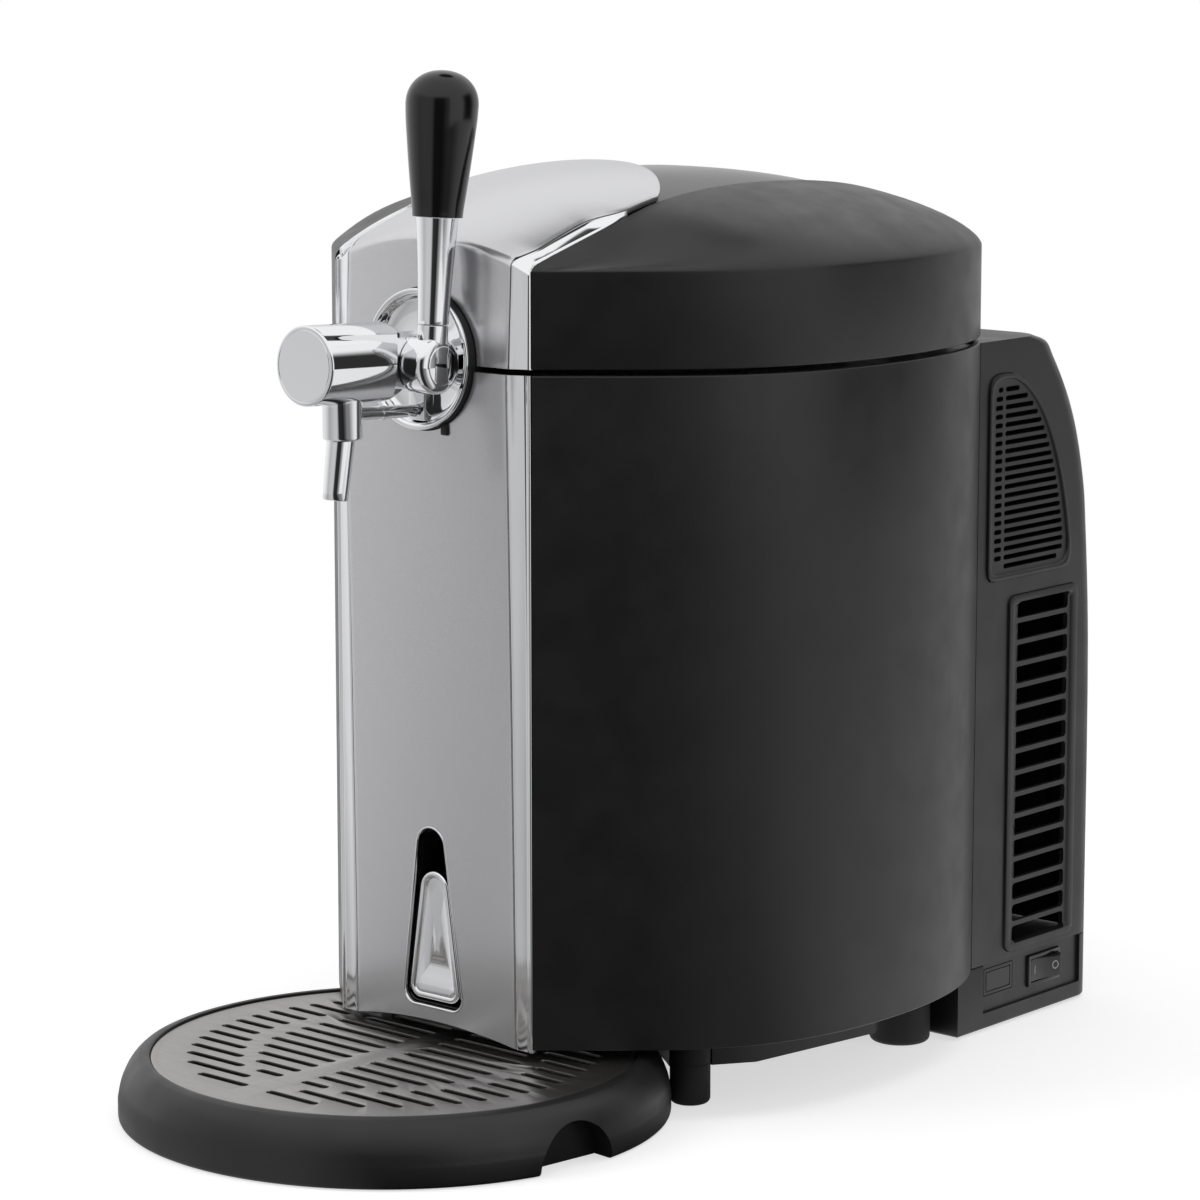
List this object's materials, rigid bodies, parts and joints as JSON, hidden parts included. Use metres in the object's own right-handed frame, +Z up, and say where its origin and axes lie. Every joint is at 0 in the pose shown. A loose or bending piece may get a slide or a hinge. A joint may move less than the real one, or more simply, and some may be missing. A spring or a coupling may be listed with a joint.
{
  "type": "mini keg beer dispenser",
  "caption": "Table-top cooler and tap for a small beer keg: hinged domed lid, front tap with a knob lever, release paddle, pull-out drip tray and a fan-cooled tower behind.",
  "frame": {"origin": "on the table under the middle of the whole machine's outline", "axes": "+Z up, -Y towards the person pouring, +X the side with the tap lever's hub and the mains switch"},
  "size_m": [0.279, 0.4922, 0.452],
  "materials": {
    "satin_black": "fine satin grain",
    "gloss_black": "gloss",
    "tray_black": "satin",
    "satin_silver": "satin metallic paint",
    "chrome_trim": "mirror polish",
    "chrome_tap": "mirror polish",
    "brushed_plate": "brushed, dark",
    "bright_aluminium": "drawn, plain",
    "zinc_steel": "zinc plated",
    "foot_rubber": "matte",
    "seal_rubber": "matte",
    "foam_white": "moulded foam",
    "pale_plastic": "plain",
    "board_green": "solder mask"
  },
  "bodies": {
    "cabinet": {"base_moulding": "satin_black", "body_shell": "satin_black", "front_panel": "satin_silver", "corner_strip_right": "chrome_trim", "corner_strip_left": "chrome_trim", "insulation_jacket": "foam_white", "keg_well": "bright_aluminium", "foot_front_right": "foot_rubber", "foot_front_left": "foot_rubber", "foot_rear_right": "foot_rubber", "foot_rear_left": "foot_rubber", "latch_cup": "gloss_black", "latch_pin": "zinc_steel", "tap_body": "chrome_tap", "tap_gasket": "seal_rubber", "tap_cradle": "satin_black", "shank_nut": "zinc_steel", "spout_collar": "chrome_tap", "spout_nozzle": "chrome_tap", "bypass_tube": "chrome_tap", "tower_cover": "satin_black", "upper_grille_right": "satin_black", "upper_grille_left": "satin_black", "lower_grille_right": "satin_black", "lower_grille_left": "satin_black", "rear_cover": "satin_black", "cover_screw_1": "zinc_steel", "cover_screw_2": "zinc_steel", "cover_screw_3": "zinc_steel", "cover_screw_4": "zinc_steel", "cold_block": "bright_aluminium", "cooling_module": "pale_plastic", "heat_sink": "bright_aluminium", "fan_frame": "satin_black", "circuit_board": "board_green", "power_inlet": "gloss_black", "switch_bezel": "gloss_black", "blank_cover": "gloss_black", "hinge_bracket_right": "satin_black", "hinge_bracket_left": "satin_black", "hinge_pin_right": "zinc_steel", "hinge_pin_left": "zinc_steel"},
    "lid": {"lid_shell": "satin_black", "lid_front_skin": "satin_silver", "lid_trim_right": "chrome_trim", "lid_trim_left": "chrome_trim", "lid_liner": "pale_plastic", "lid_seal": "seal_rubber"},
    "tap_lever": {"lever_hub": "chrome_tap", "lever_rod": "chrome_tap", "lever_knob": "gloss_black"},
    "tray": {"drip_tray": "tray_black", "drip_plate": "brushed_plate"},
    "paddle": {"latch_paddle": "chrome_trim"},
    "fan": {"fan_rotor": "satin_black"},
    "rocker": {"switch_rocker": "gloss_black"}
  },
  "joints": [
    {"name": "lid_hinge", "type": "hinge", "parent": "cabinet", "child": "lid", "pos_m": [0, 0.176, 0.332], "axis": [-1, 0, 0], "range_deg": [0, 75]},
    {"name": "lever_pivot", "type": "hinge", "parent": "cabinet", "child": "tap_lever", "pos_m": [0.018, -0.1186, 0.328], "axis": [1, 0, 0], "range_deg": [0, 35]},
    {"name": "tray_slide", "type": "slide", "parent": "cabinet", "child": "tray", "axis": [0, -1, 0], "range_m": [0, 0.13]},
    {"name": "paddle_pivot", "type": "hinge", "parent": "cabinet", "child": "paddle", "pos_m": [0, -0.098, 0.048], "axis": [1, 0, 0], "range_deg": [0, 25], "stiffness_Nm_per_rad": 0.3, "springref_deg": -11.46},
    {"name": "fan_spin", "type": "hinge", "parent": "cabinet", "child": "fan", "pos_m": [0, 0.22, 0.15], "axis": [0, 1, 0], "continuous": true},
    {"name": "switch_rock", "type": "hinge", "parent": "cabinet", "child": "rocker", "pos_m": [0.10453, 0.20328, 0.02125], "axis": [0, 0, 1], "range_deg": [0, 14]}
  ]
}
